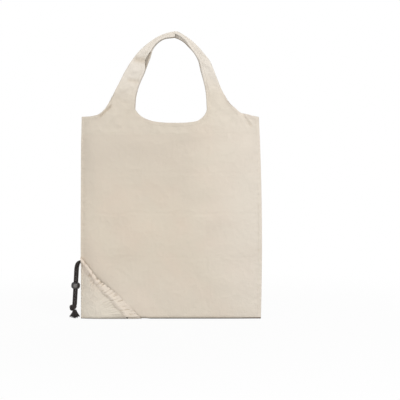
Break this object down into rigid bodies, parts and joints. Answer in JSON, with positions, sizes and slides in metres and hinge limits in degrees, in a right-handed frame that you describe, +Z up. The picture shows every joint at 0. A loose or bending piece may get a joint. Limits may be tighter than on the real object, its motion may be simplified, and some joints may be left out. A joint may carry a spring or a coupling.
{
  "type": "foldable tote bag",
  "caption": "Flat cotton tote with loop handles cut in one with its panels, and a corner pouch with a beaded drawstring that it packs into.",
  "frame": {"origin": "middle of the bag's bottom, on the surface it stands on", "axes": "+Z up along the handles, +X to the wearer's right across the front panel, -Y out of the front panel"},
  "size_m": [0.4086, 0.0524, 0.613],
  "materials": {
    "cotton": "matte",
    "handle_cotton": "matte",
    "pouch_cotton": "matte",
    "cord": "matte",
    "bead": "satin"
  },
  "bodies": {
    "bag": {"front_panel_lower": "cotton", "back_panel_lower": "cotton", "bottom_fold": "cotton", "left_seam_lower": "cotton", "right_seam_lower": "cotton", "front_pouch": "pouch_cotton", "back_pouch": "pouch_cotton", "front_channel": "pouch_cotton", "back_channel": "pouch_cotton", "drawstring": "cord", "cord_tail_front": "cord", "cord_tail_back": "cord", "cord_knot": "cord", "cord_end_front": "cord", "cord_end_back": "cord"},
    "upper_bag": {"front_panel_upper": "cotton", "back_panel_upper": "cotton", "front_facing": "cotton", "back_facing": "cotton", "left_seam_upper": "cotton", "right_seam_upper": "cotton"},
    "front_handle": {"front_strap_left": "handle_cotton", "front_strap_right": "handle_cotton", "front_strap_seam": "handle_cotton"},
    "back_handle": {"back_strap_left": "handle_cotton", "back_strap_right": "handle_cotton", "back_strap_seam": "handle_cotton"},
    "bead": {"bead": "bead"}
  },
  "joints": [
    {"name": "top_fold", "type": "hinge", "parent": "bag", "child": "upper_bag", "pos_m": [0, -0.0133, 0.226], "axis": [1, 0, 0], "range_deg": [0, 118]},
    {"name": "front_handle_fold", "type": "hinge", "parent": "upper_bag", "child": "front_handle", "pos_m": [0, -0.0133, 0.448], "axis": [-1, 0, 0], "range_deg": [-170, 0]},
    {"name": "back_handle_fold", "type": "hinge", "parent": "upper_bag", "child": "back_handle", "pos_m": [0, 0.0133, 0.448], "axis": [-1, 0, 0], "range_deg": [0, 170]},
    {"name": "bead_slide", "type": "slide", "parent": "bag", "child": "bead", "axis": [0.0578, 0, 0.9983], "range_m": [-0.032, 0.024]}
  ]
}
